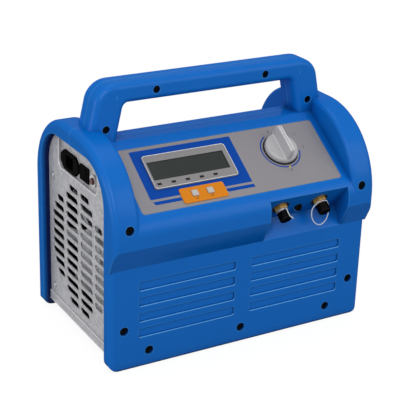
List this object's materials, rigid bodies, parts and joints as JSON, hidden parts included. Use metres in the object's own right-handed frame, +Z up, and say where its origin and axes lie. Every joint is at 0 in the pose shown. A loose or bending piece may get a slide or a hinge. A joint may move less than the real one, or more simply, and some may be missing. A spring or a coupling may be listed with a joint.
{
  "type": "refrigerant recovery machine",
  "caption": "Portable refrigerant recovery machine: blue moulded casing with carry handle, sloping control face, capped flare ports, slotted end panels and a compressor inside.",
  "frame": {"origin": "bottom centre of the machine on the floor", "axes": "+X along the machine to its right end, -Y to the front with the controls, +Z up"},
  "size_m": [0.4, 0.2551, 0.3615],
  "materials": {
    "shell": "moulded blue plastic with a fine texture",
    "black_screw": "black coated steel",
    "sheet_metal": "grey coated sheet steel",
    "bright_steel": "bright plated steel",
    "rubber": "black rubber",
    "label": "grey printed overlay",
    "bezel": "pale grey plastic",
    "lcd": "dark display window",
    "lamp": "dark lamp window",
    "orange_pad": "orange pad",
    "white_key": "white key",
    "knob": "pale grey knob",
    "brass": "turned brass",
    "cast_alloy": "cast alloy",
    "black_plastic": "black plastic",
    "white_strap": "white plastic cord",
    "red_button": "red plastic",
    "fan_grey": "grey plastic",
    "fin_alloy": "thin alloy fins",
    "copper": "bare copper",
    "board": "green circuit board"
  },
  "bodies": {
    "machine": {"front_shell": "shell", "rear_shell": "shell", "front_screws": "black_screw", "rear_screws": "black_screw", "handle_screws": "black_screw", "manifold_screw": "black_screw", "left_end_panel": "sheet_metal", "right_end_panel": "sheet_metal", "base_pan": "sheet_metal", "panel_screws": "bright_steel", "rubber_feet": "rubber", "control_label": "label", "display_bezel": "bezel", "lcd_window": "lcd", "status_lamps": "lamp", "keypad": "orange_pad", "selector_valve": "brass", "manifold_block": "cast_alloy", "inlet_port": "brass", "outlet_port": "brass", "port_gaskets": "rubber", "inlet_cap_strap": "white_strap", "outlet_cap_strap": "white_strap", "power_inlet": "black_plastic", "inlet_pins": "bright_steel", "switch_housing": "black_plastic", "breaker_body": "bright_steel", "fan_shroud": "black_plastic", "fan_motor": "cast_alloy", "condenser_core": "fin_alloy", "condenser_bends": "copper", "compressor_base": "sheet_metal", "rubber_mounts": "rubber", "compressor_motor": "cast_alloy", "crankcase": "cast_alloy", "cylinder_heads": "cast_alloy", "control_board": "board", "board_standoffs": "bezel", "run_capacitor": "black_plastic", "copper_pipes": "copper"},
    "selector": {"selector_knob": "knob", "selector_stem": "bright_steel"},
    "start_key": {"start_button": "white_key"},
    "stop_key": {"stop_button": "white_key"},
    "rocker": {"power_rocker": "black_plastic"},
    "breaker_reset": {"breaker_button": "red_button"},
    "inlet_cap_body": {"inlet_cap": "black_plastic"},
    "outlet_cap_body": {"outlet_cap": "black_plastic"},
    "fan": {"fan_rotor": "fan_grey", "fan_shaft": "bright_steel"}
  },
  "joints": [
    {"name": "selector_turn", "type": "hinge", "parent": "machine", "child": "selector", "pos_m": [0.083, -0.05873, 0.25337], "axis": [0, -0.5519, 0.8339], "range_deg": [-180, 0]},
    {"name": "start_press", "type": "slide", "parent": "machine", "child": "start_key", "axis": [0, 0.5519, -0.8339], "range_m": [0, 0.0007], "stiffness_N_per_m": 600, "springref_m": -0.001},
    {"name": "stop_press", "type": "slide", "parent": "machine", "child": "stop_key", "axis": [0, 0.5519, -0.8339], "range_m": [0, 0.0007], "stiffness_N_per_m": 600, "springref_m": -0.001},
    {"name": "rocker_tip", "type": "hinge", "parent": "machine", "child": "rocker", "pos_m": [-0.184, -0.005, 0.244], "axis": [0, 0, 1], "range_deg": [0, 16]},
    {"name": "breaker_press", "type": "slide", "parent": "machine", "child": "breaker_reset", "axis": [1, 0, 0], "range_m": [0, 0.003], "stiffness_N_per_m": 300, "springref_m": -0.001},
    {"name": "inlet_cap_off", "type": "slide", "parent": "machine", "child": "inlet_cap_body", "axis": [0, -0.788, -0.6157], "range_m": [0, 0.014]},
    {"name": "outlet_cap_off", "type": "slide", "parent": "machine", "child": "outlet_cap_body", "axis": [0, -0.788, -0.6157], "range_m": [0, 0.014]},
    {"name": "fan_spin", "type": "hinge", "parent": "machine", "child": "fan", "pos_m": [-0.14, 0.007, 0.127], "axis": [1, 0, 0], "continuous": true}
  ]
}
